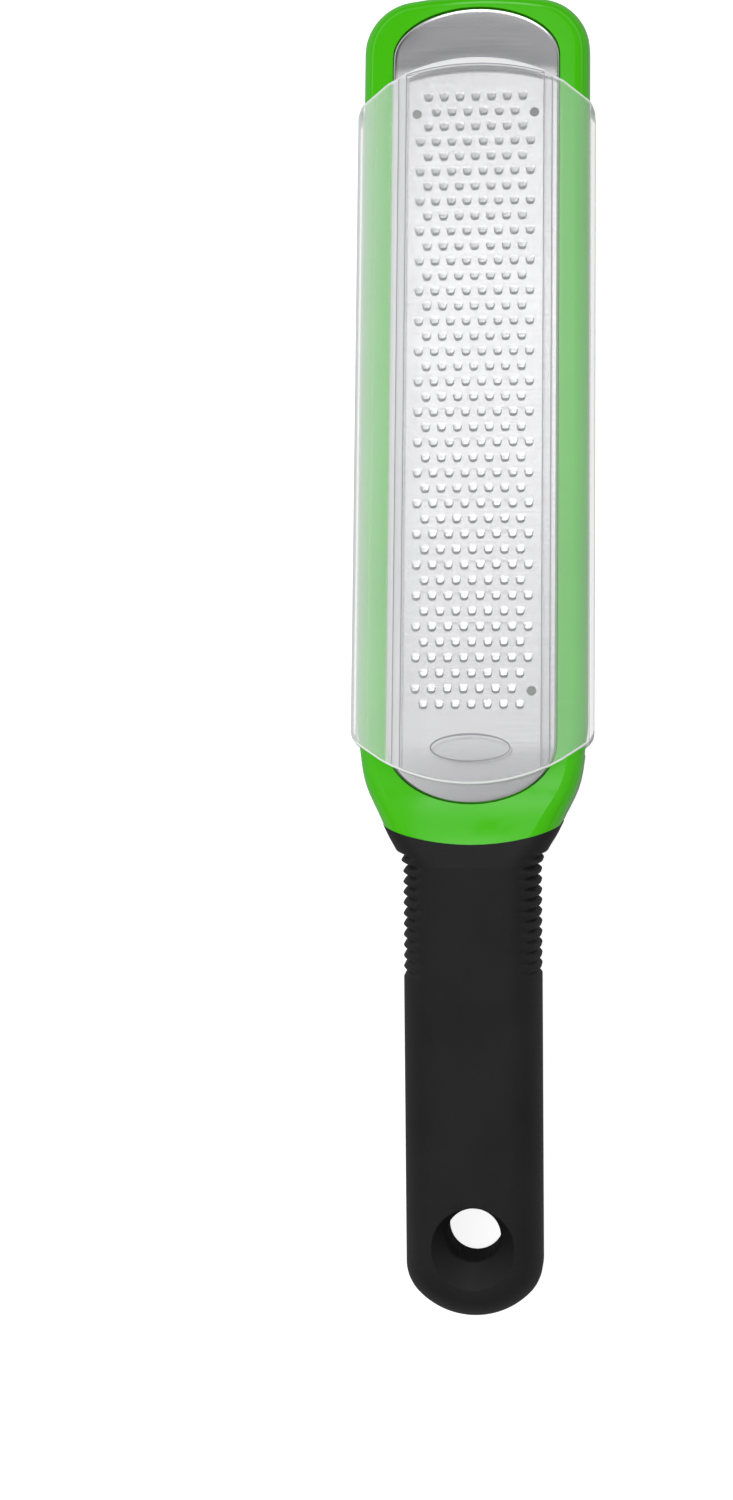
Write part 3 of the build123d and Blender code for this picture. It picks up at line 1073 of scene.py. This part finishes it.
def shoulder_stations(level):
    """Points of one level at the shoulder's stations, in handle coordinates."""
    points = []
    back = handle_matrix.inverted()
    stations = zip(shoulder_place_shares, shoulder_width_shares, shoulder_height_shares)
    for place_share, width_share, share in stations:
        along = mix(shoulder_start, -shoulder_end, place_share)
        half = mix(handle_half, head_half, width_share)
        height = mix(head_height, handle_height, share)
        top_round = mix(head_top_round, handle_corner, share)
        bottom_round = mix(head_bottom_round, handle_corner, share)
        x, z = section_point(half, height, top_round, bottom_round, level)
        if along > 0:
            centre = head_matrix @ Vector((0, along, head_height / 2))
        else:
            centre = handle_matrix @ Vector((0, along, handle_axis))
        slope = radians(mix(-head_slope, handle_slope, share))
        offset = Vector((x, -z * sin(slope), z * cos(slope))) * millimetre
        points.append(back @ (centre + offset))
    return points


def through(points, share):
    """Point on a smooth curve through points, by a share that counts them."""
    first = max(0, min(len(points) - 2, int(share)))
    part = share - first
    before = points[max(0, first - 1)]
    start = points[first]
    end = points[first + 1]
    after = points[min(len(points) - 1, first + 2)]
    span = (end - start).length
    lead = (end - before) / (span + (start - before).length) * span
    tail = (after - start) / ((after - end).length + span) * span
    square = part * part
    cube = square * part
    value = start * (2 * cube - 3 * square + 1) + lead * (cube - 2 * square + part)
    return value + end * (3 * square - 2 * cube) + tail * (cube - square)


def past_boundary(point):
    """How far a point lies beyond the curved line where the soft grip starts."""
    middle = boundary_radius - boundary_place
    return middle - sqrt(boundary_radius ** 2 - point.x ** 2) - point.y


def boundary_share(points):
    """Share along the shoulder at which a level crosses the curved line."""
    halvings = 24
    low = boundary_first_share
    high = len(points) - 1.0
    for step in range(halvings):
        middle = (low + high) / 2
        if past_boundary(through(points, middle)) > 0:
            high = middle
        else:
            low = middle
    return high


def butt_outline():
    """Points and inward normals of the handle's plan, from its straight side round to the butt."""
    straight_steps = 16
    arc_steps = 16
    centre_y = butt_depth - handle_length
    side_half = handle_half - butt_side_radius
    gap = butt_depth - butt_side_radius
    end_radius = (side_half ** 2 + butt_depth ** 2 - butt_side_radius ** 2) / 2 / gap
    end_centre = end_radius - handle_length
    full = Vector((side_half, centre_y - end_centre)).angle(Vector((1, 0)))
    rows = []
    along = -shoulder_end - fin_pitch / rows_per_fin
    fins_end = -fin_start - (fin_grooves - 0.5) * fin_pitch
    while along > fins_end:
        rows.append((handle_half, along, -1.0, 0.0))
        along -= fin_pitch / rows_per_fin
    for step in range(straight_steps):
        rows.append((handle_half, mix(fins_end, centre_y, step / straight_steps), -1.0, 0.0))
    for step in range(arc_steps):
        turn = full * step / arc_steps
        x = side_half + butt_side_radius * cos(turn)
        rows.append((x, centre_y - butt_side_radius * sin(turn), -cos(turn), sin(turn)))
    for step in range(arc_steps + 1):
        turn = (pi / 2 - full) * (1 - step / arc_steps)
        rows.append((end_radius * sin(turn), end_centre - end_radius * cos(turn), -sin(turn), cos(turn)))
    return rows


def fin_cut(x, y, half):
    """Depth that the grooves between the fins take off the side of the grip."""
    first = -fin_start + fin_pitch / 2
    last = first - fin_grooves * fin_pitch
    if y > first or y < last:
        return 0.0
    groove = (-fin_start - y) / fin_pitch
    share = max(0.0, min(1.0, groove / (fin_grooves - 1)))
    lobe = (1 - abs(sin(pi * groove))) ** fin_sharpness
    near = max(0.0, 1 - (half - x) / fin_reach)
    fade = near * (2 - near)
    return mix(fin_first_depth, fin_last_depth, share) * lobe * fade


def grip_rows():
    """Rows of points on the right half of the grip, from the curved line to the butt."""
    steps = 26
    levels = section_levels()
    stations = [shoulder_stations(level) for level in levels]
    starts = [boundary_share(points) for points in stations]
    end = len(shoulder_place_shares) - 1.0
    flat_half = handle_half - handle_corner
    rows = []
    for step in range(steps + 1):
        shares = [mix(start, end, step / steps) for start in starts]
        rows.append([through(points, share) for points, share in zip(stations, shares)])
    for x, y, nx, ny in butt_outline():
        row = []
        for level in levels:
            px, pz = section_point(handle_half, handle_height, handle_corner, handle_corner, level)
            inward = min(handle_half - px, handle_corner)
            share = min(1.0, px / flat_half)
            row.append(Vector(((x + nx * inward) * share, y + ny * inward, pz + handle_axis)))
        rows.append(row)
    for row in rows:
        half = max(point.x for point in row)
        for point in row:
            if half > handle_half - full_width_margin:
                point.x -= fin_cut(point.x, point.y, half)
    return rows


def grip_shape(made):
    """Soft moulding of the handle, closed by an upright wall along the curved line."""
    rows = grip_rows()
    count = len(rows[0])
    width = 2 * count
    points = []
    for row in rows:
        points += [tuple(point) for point in row]
        points += [(-point.x, point.y, point.z) for point in reversed(row)]
    faces = band_faces(len(rows), width)
    middle = count // 2
    for place in range(middle):
        wall = (place, count - 1 - place, count - 2 - place, place + 1)
        if place == middle - 1:
            wall = (place, count - 1 - place, middle)
        faces.append(wall)
        faces.append(tuple(width - 1 - corner for corner in reversed(wall)))
    shape = piece("grip_moulding", points, faces, handle_matrix, [made], grip_sharp)
    merge = shape.modifiers.new("merge", "WELD")
    merge.merge_threshold = weld_distance
    return shape


def hole_cutter(made):
    """Block of rings for the hang hole and for the dishes, which open towards the butt."""
    steps = 96
    tall = handle_height / 2
    throat = tall - dish_depth
    upper = [
        (hole_radius, throat - throat_soft),
        (hole_radius + throat_soft, throat + throat_rise),
        (dish_radius, tall),
        (dish_radius + mouth_flare, tall + mouth_rise),
        (dish_radius + mouth_flare, tall + overrun),
    ]
    profile = [(radius, -height) for radius, height in reversed(upper)] + upper
    points = []
    for radius, height in profile:
        opened = min(1.0, max(0.0, abs(height) - throat) / dish_depth)
        centre_y = hole_from_butt - handle_length - dish_shift * opened
        for step in range(steps):
            turn = 2 * pi * step / steps
            points.append((radius * cos(turn), centre_y + radius * sin(turn), height + handle_axis))
    faces = stack_faces(len(profile), steps)
    return piece("hole_cutter", points, faces, handle_matrix, [made], grip_sharp)


def grip(made):
    """Finned grip with its dished hang hole."""
    shape = grip_shape(made)
    carve(shape, hole_cutter(made), grip_sharp)
    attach(shape, "zester")
    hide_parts("grip")


def seen_by_eye(tree):
    """One when a camera ray or a transmission ray asks."""
    path = tree.nodes.new("ShaderNodeLightPath")
    return calculate(tree, "MAXIMUM", path.outputs["Is Camera Ray"], path.outputs["Is Transmission Ray"])


def faded(tree, value, limits):
    """Smooth rise from zero to one as a value goes between two limits."""
    rise = spread(tree, value, (0.0, 1.0), limits)
    rise.node.interpolation_type = "SMOOTHSTEP"
    return rise


def white_floor():
    """Pale floor that glows white to the camera, apart from its painted shade, and keeps the shadow."""
    half = floor_size / 2
    mesh = bpy.data.meshes.new("floor")
    corners = [(-half, -half, 0), (half, -half, 0), (half, half, 0), (-half, half, 0)]
    mesh.from_pydata(corners, [], [(0, 1, 2, 3)])
    floor = new_object("floor", mesh)
    made, tree, shader = material("floor")
    shader.inputs["Base Color"].default_value = floor_colour
    shader.inputs["Roughness"].default_value = floor_roughness
    shader.inputs["Specular IOR Level"].default_value = 0.0
    shader.inputs["Emission Color"].default_value = (1.0, 1.0, 1.0, 1.0)
    place = coordinates(tree, "Object")
    along = calculate(tree, "SUBTRACT", place["Y"], shade_middle)
    across_open = faded(tree, calculate(tree, "ABSOLUTE", place["X"]), shade_across)
    along_open = faded(tree, calculate(tree, "ABSOLUTE", along), shade_along)
    open_floor = calculate(tree, "MAXIMUM", across_open, along_open)
    glow = calculate(tree, "MULTIPLY", seen_by_eye(tree), spread(tree, open_floor, (shade_glow, floor_glow)))
    tree.links.new(glow, shader.inputs["Emission Strength"])
    mesh.materials.append(made)


def band_level(tree, angle, table):
    """Brightness by an angle in radians, through a table of angles in degrees and levels."""
    peak = max(level for place, level in table)
    shares = [(place / 180 + 0.5, level / peak) for place, level in table]
    share = spread(tree, angle, (0.0, 1.0), (-pi / 2, pi / 2))
    return calculate(tree, "MULTIPLY", stops(tree, share, shares), peak)


def studio(tree):
    """Brightness of the studio in a direction: bands along the tool, dark sides and a dark gap."""
    place = coordinates(tree, "Generated")
    up = calculate(tree, "MAXIMUM", place["Z"], least_up)
    lean_y = calculate(tree, "ARCTAN2", place["Y"], up)
    lean_x = calculate(tree, "ARCTAN2", place["X"], up)
    along_level = band_level(tree, lean_y, studio_bands)
    level = calculate(tree, "MULTIPLY", along_level, band_level(tree, lean_x, studio_window))
    dark = calculate(tree, "GREATER_THAN", lean_x, radians(studio_gap[0]))
    dark = calculate(tree, "MULTIPLY", dark, calculate(tree, "LESS_THAN", lean_x, radians(studio_gap[1])))
    dark = calculate(tree, "MULTIPLY", dark, calculate(tree, "LESS_THAN", lean_y, radians(studio_gap_end)))
    return calculate(tree, "MULTIPLY", level, spread(tree, dark, (1.0, studio_gap_level)))


def white_world():
    """World that looks white, lights softly and shows the studio to reflections."""
    world = bpy.data.worlds.new("studio")
    bpy.context.scene.world = world
    world.use_nodes = True
    tree = world.node_tree
    background = tree.nodes["Background"]
    background.inputs["Color"].default_value = (1.0, 1.0, 1.0, 1.0)
    choice = tree.nodes.new("ShaderNodeMix")
    path = tree.nodes.new("ShaderNodeLightPath")
    tree.links.new(path.outputs["Is Glossy Ray"], choice.inputs["Factor"])
    tree.links.new(spread(tree, seen_by_eye(tree), (ambient_level, 1.0)), choice.inputs["A"])
    tree.links.new(studio(tree), choice.inputs["B"])
    tree.links.new(choice.outputs["Result"], background.inputs["Strength"])


def key_lamp():
    """Square softbox above the tool, facing the origin, that reflections don't see."""
    lamp = bpy.data.lights.new("key", "AREA")
    lamp.shape = "RECTANGLE"
    lamp.size = key_size
    lamp.size_y = key_size
    lamp.energy = key_radiance * pi * key_size ** 2
    made = new_object("key", lamp)
    away = Vector((sin(radians(key_lean_x)), sin(radians(key_lean_y)), 0))
    away.z = sqrt(1 - away.x ** 2 - away.y ** 2)
    made.location = away * key_distance
    made.rotation_euler = away.to_track_quat("Z", "Y").to_euler()
    made.visible_glossy = False


def camera():
    """Camera at the photograph's place and angle."""
    data = bpy.data.cameras.new("camera")
    data.sensor_fit = "VERTICAL"
    data.sensor_height = sensor_height_mm
    data.lens = focal_length_px * sensor_height_mm / image_height_px
    made = new_object("camera", data)
    turn = Matrix.Rotation(radians(camera_pitch), 4, "X")
    turn = turn @ Matrix.Rotation(radians(camera_yaw), 4, "Y")
    turn = turn @ Matrix.Rotation(radians(camera_roll), 4, "Z")
    made.matrix_world = Matrix.Translation(camera_place) @ turn
    bpy.context.scene.camera = made


green = green_plastic()
rubber = black_rubber()
dress("bezel", green)
dress("frame", green)
grip(rubber)
dress("tip_foot", rubber)
blade(brushed_steel())
cover([clear_plastic(*kind) for kind in clear_kinds])

white_floor()
white_world()
key_lamp()
camera()
bpy.context.scene.view_settings.view_transform = "Standard"
